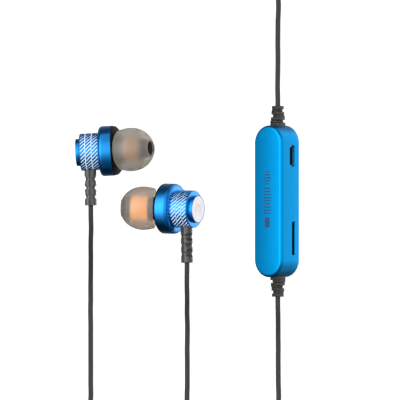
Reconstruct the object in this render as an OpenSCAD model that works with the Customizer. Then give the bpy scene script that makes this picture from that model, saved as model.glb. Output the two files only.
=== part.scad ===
// Neckband earphones: two in-ear buds and an inline control module, joined by two
// braided cords, lying on a table. Millimetres, +Z up, the table is the plane z = 0.
// The origin is under the middle of the buds and module, without the cords.

/* [Bud body] */
// Diameter of the flange that holds the driver
flange_d = 17.1; // [16.9:0.1:17.3]
// Length of the blue flange
flange_len = 4.5; // [4.5:0.05:4.75]
// Diameter of the knurled barrel
barrel_d = 12.7; // [12.4:0.1:13]
// Length of the knurled barrel
barrel_len = 6.5; // [6.4:0.1:6.8]
// Diameter of the boss that holds the end disc
boss_d = 9.35; // [9:0.05:10]
// Length of the boss
boss_len = 1.45; // [1.4:0.05:1.8]
// Angle between the ear tip's axis and the barrel's axis
nozzle_tilt = 22; // [20:1:24]
// Lean of the strain relief away from the ear tip
relief_cant = 2.2; // [0:0.2:4]

/* [Ear tip] */
// Widest diameter of the silicone dome
tip_d = 14.8; // [14.4:0.1:15]
// Diameter of the dome's open skirt
skirt_d = 13.6; // [13:0.1:13.8]
// Diameter of the sound opening at the front
tip_hole_d = 5.1; // [4.8:0.1:5.3]
// Thickness of the silicone
tip_wall = 0.55; // [0.4:0.05:0.7]

/* [Control module] */
// Width of the module
module_w = 12.1; // [12:0.1:12.5]
// Length of the module over its round ends
module_len = 51.3; // [51:0.1:56]
// Thickness of the module
module_t = 10.3; // [10.3:0.1:11]
// Radius of the module's rounded edges
module_edge = 1.1; // [0.8:0.1:1.3]
// Height of the parting line above the back face
parting_z = 4.15; // [4.05:0.05:4.2]
// Travel of each key
key_travel = 0.3; // [0.2:0.05:0.3]

/* [Cords] */
// Diameter of the braided cords
cord_d = 1.75; // [1.5:0.05:1.75]

/* [Hidden] */
SIDES = ["left", "right"];

$fn = 64;
fine_fn = 128;
gap = 0.05;

// Colours
blue = "#0a6fc4";
black = "#1c1d20";
grey = "#8b857c";
orange = "#ef9a5a";
silver = "#dcdfe2";
steel = "#a9adb2";
copper = "#b9743a";
board_green = "#1d6a3c";

// Bud, in its own frame: x runs from the barrel to the ear tip, z is the side that the
// nozzle leans to, and the cord leaves along -y. x = 0 is the flange's rear face.
left_pos = [-35.36, 17.05, 10.85];
left_turn = [0, 35, 1];
right_pos = [-2.81, -2.55, 8.13];
right_turn = [0, 12, 1.2];
barrel_r = barrel_d / 2;
flange_r = flange_d / 2;
boss_r = boss_d / 2;
rear_x = -barrel_len - boss_len;
flange_fillet = 1.4;
barrel_chamfer = 0.25;
disc_r = boss_r - 0.22;
disc_t = 0.4;
barrel_bore_r = 5.2;
flange_bore_r = 7.5;
flange_floor = 1;
rear_wall = 0.75;
groove_xs = [-4.55, -2.4];
groove_depth = 0.12;
groove_w = 0.22;
rim_len = 0.45;
rim_x = flange_len + rim_len;

// Nozzle, along its own axis from a pivot on the bud's axis
pivot_x = 2.1;
face_t = 5.5;
collar_r = 3.9;
collar_t = 8.2;
nozzle_r = 2.55;
nozzle_t = 13.6;
barb_r = 2.72;
barb_t = 12.4;
nozzle_bore_r = 1.95;
mesh_t = 0.15;

// Ear tip, along the nozzle's axis
skirt_t = 5.95;
widest_t = 10;
core_start_t = 8.35;
core_end_t = 14;
core_r = 4;
core_bore_r = 2.85;
tip_end_t = 17.4;
dome_len = 7.9;
lip_r = 3;
tip_steps = 10;

// Strain relief of a bud
relief_x = -barrel_len / 2;
relief_w = 4;
relief_t = 3.5;
relief_rolls = [0, 32];
relief_round = 1;
relief_end = 18.4;
relief_neck_r = 1.65;
relief_collar_r = 2.2;
notch_ys = [9.5, 12.45, 15.4];
notch_r = 0.85;
notch_depth = 0.42;
seam_w = 0.7;
seam_depth = 0.45;

// Driver
yoke_r = 4.35;
magnet_r = 3;
yoke_back = -0.9;
yoke_front = 2.6;
driver_r = 7.3;
driver_front = 3.9;

// Control module: x across, y along, z up from the back face
module_pos = [38.44, 0, 0];
shell_wall = 1.1;
end_y = (module_len - module_w) / 2;
cord_z = 4.6;
usb_y = 15.3;
usb_z = 4.2;
usb_w = 7.2;
usb_h = 2.5;
card_y = -12.5;
card_w = 11.1;
card_z0 = 2.9;
card_z1 = 4.25;
board_top = 2.75;
board_t = 0.9;
rib_y = 17.5;
board_edge = 0.35;
key_ys = [13.5, 5, -3.5];
key_w = 6.2;
key_h = 2.4;
key_z = 4.3;
key_proud = 0.4;
key_slot_gap = 0.1;
key_flange_w = 7.2;
key_flange_h = 2.9;
key_flange_t = 0.4;
key_flange_x = -module_w / 2 + shell_wall + 0.05;
plunger_r = 0.5;
switch_gap = 0.4;
switch_front_x = key_flange_x + key_flange_t + key_travel + switch_gap;
switch_depth = 1.7;
switch_w = 4.4;
battery_z0 = 5.9;
battery_w = 7.6;
battery_len = 27;
pad_t = 0.2;
light_y = -10;
mic_y = -15;
port_z = 6.35;
port_r = 0.6;

// Strain reliefs of the module: four steps from the base to the tip
module_relief_len = 6.6;
relief_steps = [3.95, 3.7, 3.4, 3.15];
relief_core_r = 1.05;
notch_len = 0.9;
module_notch_ys = [1.4, 3.2, 5.0];
module_neck_r = 1.35;
module_collar_r = 1.8;

// Route of the cord from the right bud to the module's lower end
short_route = [
    [0.75, -20.88, 7.45], [0.64, -24, 7.35], [0.14, -28, 6.8], [-1.26, -33, 5.0],
    [-3.06, -38, 2.9], [-4.16, -43, 1.4], [-4.66, -48, 0.88], [-4.66, -55, 0.88],
    [-4.66, -62, 0.88], [-4.66, -69, 0.88], [-3.16, -75, 0.88], [1.24, -79.6, 0.88],
    [7.24, -81.6, 0.88], [15.74, -82, 0.88], [24.24, -81.6, 0.88], [30.24, -79.6, 0.88],
    [34.24, -75, 0.88], [35.54, -69, 0.88], [35.54, -60, 0.88], [35.54, -50, 0.88],
    [35.74, -46, 1.2], [36.74, -42, 2.4], [37.94, -38, 3.9], [38.44, -34.6, 4.6],
    [38.44, -32.25, 4.6]
];

// Route of the cord from the module's upper end, round behind, to the left bud
neck_route = [
    [38.44, 32.25, 4.6], [38.44, 34.6, 4.6], [37.84, 38, 4.0], [36.64, 42, 2.5],
    [35.64, 46, 1.2], [35.39, 50, 0.88], [35.39, 60, 0.88], [35.39, 69, 0.88],
    [33.64, 74.4, 0.88], [28.64, 77.4, 0.88], [20.24, 78, 0.88], [6.24, 77.6, 0.88],
    [-7.76, 77.2, 0.88], [-21.76, 77.2, 0.88], [-35.76, 77.6, 0.88], [-49.76, 78.2, 0.88],
    [-63.76, 78.8, 0.88], [-75.76, 79, 0.88], [-85.76, 77.2, 0.88], [-92.56, 72.6, 0.88],
    [-95.76, 64.4, 0.88], [-96.36, 50, 0.88], [-95.76, 36, 0.88], [-95.16, 22, 0.88],
    [-94.96, 8, 0.88], [-95.16, -6, 0.88], [-95.56, -20, 0.88], [-95.76, -34, 0.88],
    [-95.56, -48, 0.88], [-94.96, -62, 0.88], [-93.16, -71, 0.88], [-88.76, -78, 0.88],
    [-81.76, -81.8, 0.88], [-72.36, -83, 0.88], [-62.56, -82.4, 0.88], [-54.96, -79.8, 0.88],
    [-50.16, -75, 0.88], [-48.06, -69, 0.88], [-47.86, -61, 0.88], [-47.86, -52, 0.88],
    [-47.86, -43, 0.88], [-47.86, -34, 0.88], [-47.36, -29, 1.5], [-45.66, -24, 3.4],
    [-43.16, -19, 6.3], [-40.46, -14, 9.5], [-38.36, -9, 11.8], [-37.71, -4.5, 12.7],
    [-37.7, -1.39, 12.71]
];

// ---- frames and shared shapes ----

module place(side) {
    if (side == "left") translate(left_pos) rotate(left_turn) children();
    else translate(right_pos) rotate(right_turn) mirror([1, 0, 0]) children();
}

module in_body(side) {
    place(side) rotate([0, 0, relief_cant]) children();
}

module in_nozzle(side) {
    in_body(side) along_nozzle() children();
}

module along_nozzle() {
    translate([pivot_x, 0, 0]) rotate([0, -nozzle_tilt, 0]) children();
}

// A profile of (radius, distance along x), turned round the x axis
module turned(steps = fine_fn) {
    rotate([0, 90, 0]) rotate_extrude($fn = steps) children();
}

module ring_2d(r0, r1, x0, x1) {
    translate([r0, x0]) square([r1 - r0, x1 - x0]);
}

module rounded_square(w, h, r) {
    square([w - 2 * r, h], center = true);
    square([w, h - 2 * r], center = true);
    for (sx = [-1, 1], sy = [-1, 1])
        translate([sx * (w / 2 - r), sy * (h / 2 - r)]) circle(r, $fn = 32);
}

// ---- bud ----

module housing_outline() {
    ring_2d(0, boss_r, rear_x + 0.15, 0.5);
    ring_2d(0, boss_r - 0.1, rear_x, 0.5);
    ring_2d(0, barrel_r - barrel_chamfer, -barrel_len, 0.5);
    ring_2d(0, barrel_r, -barrel_len + barrel_chamfer, 0.5);
    translate([barrel_r - barrel_chamfer, -barrel_len + barrel_chamfer])
        circle(barrel_chamfer, $fn = 32);
    ring_2d(0, flange_r - flange_fillet, 0, flange_len);
    ring_2d(0, flange_r, flange_fillet, flange_len);
    translate([flange_r - flange_fillet, flange_fillet]) circle(flange_fillet, $fn = 48);
}

module housing(side) {
    color(blue) in_body(side) difference() {
        turned() difference() {
            housing_outline();
            ring_2d(-1, disc_r + 0.02, rear_x - 1, rear_x + disc_t);
            ring_2d(-1, barrel_bore_r, rear_wall - barrel_len, flange_len);
            ring_2d(-1, flange_bore_r, flange_floor, flange_len + 1);
            for (x = groove_xs) ring_2d(barrel_r - groove_depth, barrel_r + 1, x, x + groove_w);
        }
        rotate([0, 0, -relief_cant]) translate([relief_x, 0, 0]) rotate([90, 0, 0])
            cylinder(r = relief_neck_r + gap, h = barrel_d);
    }
}

module end_disc(side) {
    color(silver) in_body(side) turned() difference() {
        ring_2d(0, disc_r, rear_x + 0.05, rear_x + disc_t);
        translate([0, rear_x - 12.3]) circle(12.5, $fn = 96);
    }
}

// Half section of the shell's dome, collar and barbed nozzle
module nozzle_outline() {
    polygon([
        [0, 0], [9.6, 0], [9.6, 1.2], [9.2, 2.2], [8.6, 3.05], [7.8, 3.85],
        [6.8, 4.55], [5.6, 5.1], [collar_r, face_t], [collar_r, collar_t],
        [nozzle_r, collar_t], [nozzle_r, barb_t - 0.3], [barb_r, barb_t],
        [barb_r, barb_t + 0.5], [nozzle_r, nozzle_t], [0, nozzle_t]
    ]);
}

module front_shell(side) {
    color(black) in_body(side) difference() {
        union() {
            turned() ring_2d(0, flange_r - 0.02, flange_len, rim_x);
            intersection() {
                rotate([0, 90, 0]) translate([0, 0, flange_len + 0.3])
                    cylinder(r = flange_r - 0.2, h = 20, $fn = fine_fn);
                along_nozzle() turned() nozzle_outline();
            }
        }
        turned() polygon([[0, 4], [6.4, 4], [6.4, 4.65], [2.4, 6.2], [0, 6.2]]);
        along_nozzle() turned() {
            ring_2d(0, nozzle_bore_r, 3.2, nozzle_t + 1);
            ring_2d(0, nozzle_bore_r + 0.25, nozzle_t - mesh_t - 0.15, nozzle_t + 1);
        }
    }
}

module nozzle_mesh(side) {
    color(steel) in_nozzle(side) turned()
        ring_2d(0, nozzle_bore_r + 0.25, nozzle_t - mesh_t - 0.15, nozzle_t - 0.15);
}

module driver_frame(side) {
    color(black) in_body(side) turned() {
        ring_2d(yoke_r, driver_r, flange_floor, flange_floor + 0.5);
        ring_2d(driver_r - 0.6, driver_r, flange_floor, driver_front);
    }
}

module driver_yoke(side) {
    color(steel) in_body(side) turned() {
        ring_2d(0, yoke_r, yoke_back, yoke_back + 0.6);
        ring_2d(yoke_r - 0.6, yoke_r, yoke_back, yoke_front);
    }
}

module driver_magnet(side) {
    color(silver) in_body(side) turned() ring_2d(0, magnet_r, yoke_back + 0.6, 1.7);
}

module driver_plate(side) {
    color(steel) in_body(side) turned() ring_2d(0, magnet_r + 0.05, 1.7, 2.5);
}

module voice_coil(side) {
    color(copper) in_body(side) turned() ring_2d(magnet_r + 0.25, magnet_r + 0.5, 1.4, 3.5);
}

module diaphragm(side) {
    color("#c9b27c") in_body(side) turned() polygon([
        [0, 4.05], [1.6, 3.95], [2.9, 3.65], [3.5, 3.5], [5.2, 3.8], [6.65, 3.5],
        [6.65, 3.62], [5.2, 3.92], [3.5, 3.62], [2.95, 3.77], [1.6, 4.07], [0, 4.17]
    ]);
}

module gasket(side) {
    color("#303236") in_body(side) turned() ring_2d(6.5, driver_r, driver_front, flange_len);
}

module terminal_board(side) {
    color(board_green) in_body(side)
        translate([yoke_back - 0.5, -1.6, -2.2]) cube([0.5, 3.2, 4.4]);
}

module cord_stop(side) {
    color(steel) place(side) translate([relief_x, -4, 0]) rotate([-90, 0, 0]) difference() {
        cylinder(r = 1.5, h = 2.6);
        translate([0, 0, -1]) cylinder(r = cord_d / 2, h = 5);
    }
}

// The boot along -y: scalloped sides, and a channel down the middle of each face
module relief_boot() {
    difference() {
        rotate([90, 0, 0]) linear_extrude(relief_end)
            rounded_square(relief_w, relief_t, relief_round);
        for (y = notch_ys, side_x = [-1, 1])
            translate([side_x * (relief_w / 2 + notch_r - notch_depth), -y, 0])
                cylinder(r = notch_r, h = relief_t + 1, center = true, $fn = 32);
        for (z = [-1, 1]) translate([0, -relief_end / 2 - 1, z * relief_t / 2])
            cube([seam_w, relief_end, 2 * seam_depth], center = true);
    }
}

// Turned a little on the right bud, by the cord's twist
module strain_relief(side) {
    color("#4a4947") place(side) translate([relief_x, 0, 0]) difference() {
        union() {
            difference() {
                rotate([0, relief_rolls[side == "left" ? 0 : 1], 0]) relief_boot();
                translate([-relief_x, 0, 0]) rotate([0, 0, relief_cant])
                    translate([-barrel_len, 0, 0]) rotate([0, 90, 0])
                        cylinder(r = barrel_r + 0.01, h = barrel_len * 2, $fn = fine_fn);
            }
            rotate([90, 0, 0]) translate([0, 0, 4]) cylinder(r = relief_neck_r, h = 3);
            rotate([90, 0, 0]) translate([0, 0, 4]) cylinder(r = relief_collar_r, h = 0.6);
        }
        rotate([90, 0, 0]) cylinder(r = cord_d / 2, h = relief_end - 3);
    }
}

// Outside of the silicone dome: bulges from the skirt to its widest, then is half an
// ellipse, cut off at the lip round the sound opening
function tip_r(t, inset) = t < widest_t
    ? tip_d / 2 - inset - (tip_d - skirt_d) / 2 * pow((widest_t - t) / (widest_t - skirt_t), 2)
    : (tip_d / 2 - inset) * sqrt(1 - pow((t - widest_t) / (dome_len - inset), 2));
lip_t = widest_t + dome_len * sqrt(1 - pow(lip_r / (tip_d / 2), 2));
function tip_side(t0, t1, inset) = [
    for (i = [0 : tip_steps]) let (t = t0 + (t1 - t0) * sin(90 * i / tip_steps))
        [tip_r(t, inset), t]
];
function reversed(points) = [for (i = [len(points) - 1 : -1 : 0]) points[i]];

module ear_tip(side) {
    color(grey) in_nozzle(side) turned() polygon(concat(
        [[tip_r(skirt_t, tip_wall), skirt_t]],
        tip_side(skirt_t, lip_t, 0),
        [[tip_hole_d / 2 + 0.1, tip_end_t], [tip_hole_d / 2, tip_end_t - 0.1]],
        [[tip_hole_d / 2, core_end_t], [core_r, core_end_t]],
        reversed(tip_side(skirt_t, core_end_t + 1.4, tip_wall))
    ));
}

module tip_core(side) {
    color(orange) in_nozzle(side) turned() ring_2d(core_bore_r, core_r, core_start_t, core_end_t);
}

// ---- control module ----

module in_module() {
    translate(module_pos) children();
}

// A box with full-round ends and rounded edges, from z0 up
module capsule(w, t, edge, z0) {
    translate([0, 0, z0]) {
        rotate([90, 0, 0]) linear_extrude(2 * end_y, center = true)
            translate([0, t / 2]) rounded_square(w, t, edge);
        for (y = [-1, 1]) translate([0, y * end_y, 0]) rotate_extrude($fn = fine_fn)
            intersection() {
                translate([0, t / 2]) rounded_square(w, t, edge);
                square([w, t]);
            }
    }
}

module slab(z0, z1) {
    translate([-module_w, -module_len, z0]) cube([2 * module_w, 2 * module_len, z1 - z0]);
}

module round_slot(w, h, depth) {
    rotate([90, 0, 90]) linear_extrude(depth) rounded_square(w, h, h / 2 - 0.01);
}

module module_openings() {
    translate([0, usb_y, usb_z]) round_slot(usb_w, usb_h, module_w);
    translate([0, card_y - card_w / 2, card_z0]) cube([module_w, card_w, card_z1 - card_z0]);
    for (y = key_ys) translate([-module_w, y, key_z]) round_slot(
        key_w + 2 * key_slot_gap, key_h + 2 * key_slot_gap, module_w);
    for (y = [light_y, mic_y]) translate([-module_w, y, port_z]) rotate([0, 90, 0])
        cylinder(r = port_r, h = module_w, $fn = 32);
    for (y = [-1, 1]) translate([0, y * module_len / 2, cord_z]) rotate([90, 0, 0])
        cylinder(r = module_neck_r + gap, h = 8, center = true);
}

module module_casing(z0, z1) {
    difference() {
        intersection() {
            capsule(module_w, module_t, module_edge, 0);
            slab(z0, z1);
        }
        capsule(module_w - 2 * shell_wall, module_t - 2 * shell_wall, 0.5, shell_wall);
        module_openings();
    }
}

module module_front() {
    color(blue) in_module() module_casing(parting_z, module_t + 1);
}

// The back cover has two ribs inside that the board rests on
module module_back() {
    color(blue) in_module() {
        module_casing(-1, parting_z);
        for (y = [-1, 1]) translate([-3, y * rib_y - 1, shell_wall - 0.2])
            cube([6, 2, board_top - board_t - shell_wall + 0.17]);
    }
}

module circuit_board() {
    w = module_w - 2 * shell_wall - 2 * board_edge;
    color(board_green) in_module() translate([0, 0, board_top - board_t])
        linear_extrude(board_t) {
            square([w, 2 * end_y], center = true);
            for (y = [-1, 1]) translate([0, y * end_y]) circle(w / 2);
        }
}

module battery() {
    color(silver) in_module() translate([0, 0, battery_z0])
        linear_extrude(module_t - shell_wall - pad_t - battery_z0)
            rounded_square(battery_w, battery_len, 0.8);
}

module battery_pad() {
    color("#e8e6df") in_module() translate([0, 0, module_t - shell_wall - pad_t])
        linear_extrude(pad_t) square([battery_w - 2, battery_len - 4], center = true);
}

module usb_shell() {
    color(silver) in_module() translate([0.4, usb_y, usb_z]) difference() {
        round_slot(usb_w - 0.2, usb_h - 0.1, 5);
        translate([0.4, 0, 0]) round_slot(usb_w - 0.8, usb_h - 0.7, 6);
    }
}

module usb_tongue() {
    color(black) in_module() translate([0.8, usb_y - 1.9, usb_z + 0.15]) cube([3.9, 3.8, 0.5]);
}

module card_socket() {
    depth = 6.5;
    color(silver) in_module() translate([-1.8, card_y, board_top]) difference() {
        translate([0, -card_w / 2 - 0.3, 0]) cube([depth, card_w + 0.6, 1.75]);
        translate([0.4, -card_w / 2 + 0.05, 0.25]) cube([depth, card_w - 0.1, 1.2]);
    }
}

module bluetooth_chip() {
    color("#26272b") in_module() translate([-1.6, -3.2, board_top]) cube([5, 5, 0.8]);
}

module microphone() {
    color(silver) in_module() translate([-4.9, mic_y, port_z]) rotate([0, 90, 0]) difference() {
        cylinder(r = 1.3, h = 1.1, $fn = 48);
        translate([0, 0, -1]) cylinder(r = 0.25, h = 1.5, $fn = 24);
    }
}

module status_light() {
    color("#e9f1f6") in_module() translate([-module_w / 2 + 0.05, light_y, port_z])
        rotate([0, 90, 0]) cylinder(r = port_r - 0.02, h = 1.6, $fn = 32);
}

module key_switches() {
    color("#2b2c30") in_module() for (y = key_ys) difference() {
        translate([switch_front_x, y - switch_w / 2, board_top])
            cube([switch_depth, switch_w, 2.4]);
        translate([switch_front_x - 1, y, key_z]) rotate([0, 90, 0])
            cylinder(r = plunger_r + 0.1, h = 2, $fn = 32);
    }
}

module key(i) {
    color(blue) in_module() translate([0, key_ys[i], key_z]) {
        translate([-module_w / 2 - key_proud, 0, 0])
            round_slot(key_w, key_h, key_flange_x + module_w / 2 + key_proud);
        translate([key_flange_x, 0, 0]) round_slot(key_flange_w, key_flange_h, key_flange_t);
    }
}

module plunger(i) {
    start_x = key_flange_x + key_flange_t;
    color("#d8cfae") in_module() translate([start_x, key_ys[i], key_z]) rotate([0, 90, 0])
        cylinder(r = plunger_r, h = switch_front_x + 0.5 - start_x, $fn = 32);
}

// A relief at the +y end (turn = 0) or turned to the -y end (turn = 180): four shrinking
// steps with slots cut from alternate sides
module module_relief(turn) {
    step_len = module_relief_len / len(relief_steps);
    color("#3a3a3b") in_module() translate([0, 0, cord_z])
        rotate([0, 0, turn]) rotate([-90, 0, 0]) difference() {
            union() {
                difference() {
                    for (i = [0 : 3]) translate([0, 0, module_len / 2 - 1 + i * step_len])
                        linear_extrude(step_len + (i < 3 ? 0 : 1))
                            rounded_square(relief_steps[i], relief_steps[i], 0.5);
                    translate([0, 0, end_y]) rotate([90, 0, 0])
                        cylinder(r = module_w / 2 + 0.01, h = 20, center = true, $fn = fine_fn);
                    for (i = [0 : 2]) difference() {
                        translate([i % 2 == 0 ? 0.2 : -4.2, -3,
                            module_len / 2 + module_notch_ys[i] - notch_len / 2])
                            cube([4, 6, notch_len]);
                        cylinder(r = relief_core_r, h = 60);
                    }
                }
                translate([0, 0, module_len / 2 - shell_wall - 0.6])
                    cylinder(r = module_neck_r, h = 3);
                translate([0, 0, module_len / 2 - shell_wall - 0.9])
                    cylinder(r = module_collar_r, h = 0.4);
            }
            cylinder(r = cord_d / 2, h = module_len / 2 + module_relief_len - 2);
        }
}

module module_cord_stop(dir) {
    color(steel) in_module() translate([0, dir * (end_y + 1.2), cord_z])
        rotate([90, 0, 0]) difference() {
            cylinder(r = 1.5, h = 2.8, center = true);
            cylinder(r = cord_d / 2, h = 4, center = true);
        }
}

// ---- cords ----

function unit(v) = v / norm(v);
function tangent(route, i) = unit(
    route[min(i + 1, len(route) - 1)] - route[max(i - 1, 0)]);
function ring(centre, t) = let (
    side = unit(cross(t, [0, 0, 1])),
    up = cross(side, t)
) [for (k = [0 : 7]) centre + cord_d / 2 * (cos(45 * k + 22.5) * side + sin(45 * k + 22.5) * up)];

module cord(route) {
    last = len(route) - 1;
    points = [for (i = [0 : last]) each ring(route[i], tangent(route, i))];
    sides = [
        for (i = [0 : last - 1], k = [0 : 7])
            [8 * i + k, 8 * i + (k + 1) % 8, 8 * (i + 1) + (k + 1) % 8, 8 * (i + 1) + k]
    ];
    near_end = [for (k = [7 : -1 : 0]) k];
    far_end = [for (k = [0 : 7]) 8 * last + k];
    color("#2e2f31") polyhedron(points, concat([near_end, far_end], sides));
}

for (side = SIDES) {
    housing(side);
    end_disc(side);
    front_shell(side);
    nozzle_mesh(side);
    driver_frame(side);
    driver_yoke(side);
    driver_magnet(side);
    driver_plate(side);
    voice_coil(side);
    diaphragm(side);
    gasket(side);
    terminal_board(side);
    cord_stop(side);
    strain_relief(side);
    ear_tip(side);
    tip_core(side);
}

module_front();
module_back();
circuit_board();
battery();
battery_pad();
usb_shell();
usb_tongue();
card_socket();
bluetooth_chip();
microphone();
status_light();
key_switches();
key(0);  // volume_up_key
key(1);  // call_key
key(2);  // volume_down_key
plunger(0);  // volume_up_plunger
plunger(1);  // call_plunger
plunger(2);  // volume_down_plunger
module_relief(0);  // upper_relief
module_relief(180);  // lower_relief
module_cord_stop(1);  // upper_cord_stop
module_cord_stop(-1);  // lower_cord_stop
cord(neck_route);  // neck_cord
cord(short_route);  // short_cord
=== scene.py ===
"""Neckband earphones: the looks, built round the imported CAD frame. Metres, +Z up.

A piece is drawn in millimetres in the frame of its own part, as in the CAD source, and
finish_piece() moves it into the row frame."""
import math

import bmesh
import bpy
from mathutils import Matrix, Vector


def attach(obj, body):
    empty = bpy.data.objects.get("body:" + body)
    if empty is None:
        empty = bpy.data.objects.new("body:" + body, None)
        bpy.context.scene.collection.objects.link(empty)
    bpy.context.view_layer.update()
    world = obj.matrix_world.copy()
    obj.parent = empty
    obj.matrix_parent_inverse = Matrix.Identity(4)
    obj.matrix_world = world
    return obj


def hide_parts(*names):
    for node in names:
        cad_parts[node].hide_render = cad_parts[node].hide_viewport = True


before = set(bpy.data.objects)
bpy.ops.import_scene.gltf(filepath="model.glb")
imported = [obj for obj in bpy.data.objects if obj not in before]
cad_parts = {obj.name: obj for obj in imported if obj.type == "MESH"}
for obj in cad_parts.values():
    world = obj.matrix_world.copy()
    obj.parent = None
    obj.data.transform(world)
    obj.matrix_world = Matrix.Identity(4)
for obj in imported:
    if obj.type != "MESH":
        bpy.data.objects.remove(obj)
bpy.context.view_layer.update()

MM = 0.001
scene = bpy.context.scene

# ---- camera ----

LEAN = math.radians(40)  # the camera leans this far from straight down, towards +X
TO_CAMERA = Vector((math.sin(LEAN), 0, math.cos(LEAN)))
VIEW_WIDTH = 0.136
LENS, SENSOR = 1200, 36

camera = bpy.data.objects.new("camera", bpy.data.cameras.new("camera"))
camera.data.lens = LENS
camera.data.sensor_width = SENSOR
camera.location = Vector((0.24 * MM, 0.45 * MM, 0)) + TO_CAMERA * (VIEW_WIDTH * LENS / SENSOR)
camera.rotation_euler = (0, LEAN, 0)
scene.collection.objects.link(camera)
scene.camera = camera

# ---- mesh tools ----


def arc(centre, radius, start, end, steps):
    """Points (a, b) round an arc, from start to end degrees."""
    angles = [math.radians(start + (end - start) * i / steps) for i in range(steps + 1)]
    return [
        (centre[0] + radius * math.cos(t), centre[1] + radius * math.sin(t)) for t in angles
    ]


def loft(rings, pick=None, caps=False):
    """A bmesh of quads between closed rings of points. Its UV map has the turn round a
    ring in u and the distance along in v, in millimetres. pick(i, k) gives a material."""
    bm = bmesh.new()
    uv = bm.loops.layers.uv.new("turn")
    rows = [[bm.verts.new(p) for p in ring] for ring in rings]
    run = 0.0
    for i, (a, b) in enumerate(zip(rows, rows[1:])):
        count = len(a)
        step = (a[0].co - b[0].co).length
        for k in range(count):
            j = (k + 1) % count
            face = bm.faces.new((a[k], a[j], b[j], b[k]))
            face.material_index = pick(i, k) if pick else 0
            corners = ((k, run), (k + 1, run), (k + 1, run + step), (k, run + step))
            for loop, (u, v) in zip(face.loops, corners):
                loop[uv].uv = (u / count, v)
        run += step
    if caps:
        bm.faces.new(rows[0])
        bm.faces.new(rows[-1])
    return bm


def turned(profile, count=96):
    """Rings of a profile of (radius, x), turned round the x axis."""
    turns = [2 * math.pi * k / count for k in range(count)]
    return [[(x, r * math.cos(t), r * math.sin(t)) for t in turns] for r, x in profile]


def mark_edges(mesh, sharp):
    """Smooth faces, with every edge over that angle left sharp."""
    bm = bmesh.new()
    bm.from_mesh(mesh)
    bmesh.ops.recalc_face_normals(bm, faces=bm.faces)
    for edge in bm.edges:
        edge.smooth = edge.is_manifold and edge.calc_face_angle(0) < math.radians(sharp)
    for face in bm.faces:
        face.smooth = True
    bm.to_mesh(mesh)
    bm.free()


def finish_piece(name, bm, place, body, nodes, materials, sharp=32, weld=2e-4):
    """Makes bm, in millimetres in the frame that place gives, an object in the row frame
    that rides on a body and stands for some CAD nodes."""
    bmesh.ops.remove_doubles(bm, verts=bm.verts, dist=weld)
    bmesh.ops.dissolve_degenerate(bm, dist=1e-5, edges=bm.edges)
    bm.transform(Matrix.Scale(MM, 4) @ place)
    mesh = bpy.data.meshes.new(name)
    bm.to_mesh(mesh)
    bm.free()
    for material in materials:
        mesh.materials.append(material)
    mark_edges(mesh, sharp)
    piece = bpy.data.objects.new(name, mesh)
    scene.collection.objects.link(piece)
    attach(piece, body)
    if nodes:
        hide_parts(*nodes)
    return piece


def join(bm, part):
    """Adds part to bm and frees it."""
    spare = bpy.data.meshes.new("spare")
    part.to_mesh(spare)
    part.free()
    bm.from_mesh(spare)
    bpy.data.meshes.remove(spare)


def cut(piece_bm, cutters):
    """The bmesh with the cutters taken away."""
    def as_object(bm, name):
        mesh = bpy.data.meshes.new(name)
        bm.to_mesh(mesh)
        bm.free()
        made = bpy.data.objects.new(name, mesh)
        scene.collection.objects.link(made)
        return made

    bmesh.ops.remove_doubles(piece_bm, verts=piece_bm.verts, dist=2e-4)
    bmesh.ops.recalc_face_normals(piece_bm, faces=piece_bm.faces)
    casing = as_object(piece_bm, "casing")
    tools = [as_object(bm, "cutter") for bm in cutters]
    for tool in tools:
        modifier = casing.modifiers.new("cut", "BOOLEAN")
        modifier.operation = "DIFFERENCE"
        modifier.solver = "EXACT"
        modifier.object = tool
    graph = bpy.context.evaluated_depsgraph_get()
    mesh = bpy.data.meshes.new_from_object(casing.evaluated_get(graph))
    bm = bmesh.new()
    bm.from_mesh(mesh)
    for made in (casing, *tools):
        old = made.data
        bpy.data.objects.remove(made)
        bpy.data.meshes.remove(old)
    bpy.data.meshes.remove(mesh)
    return bm


# ---- material tools ----


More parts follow.
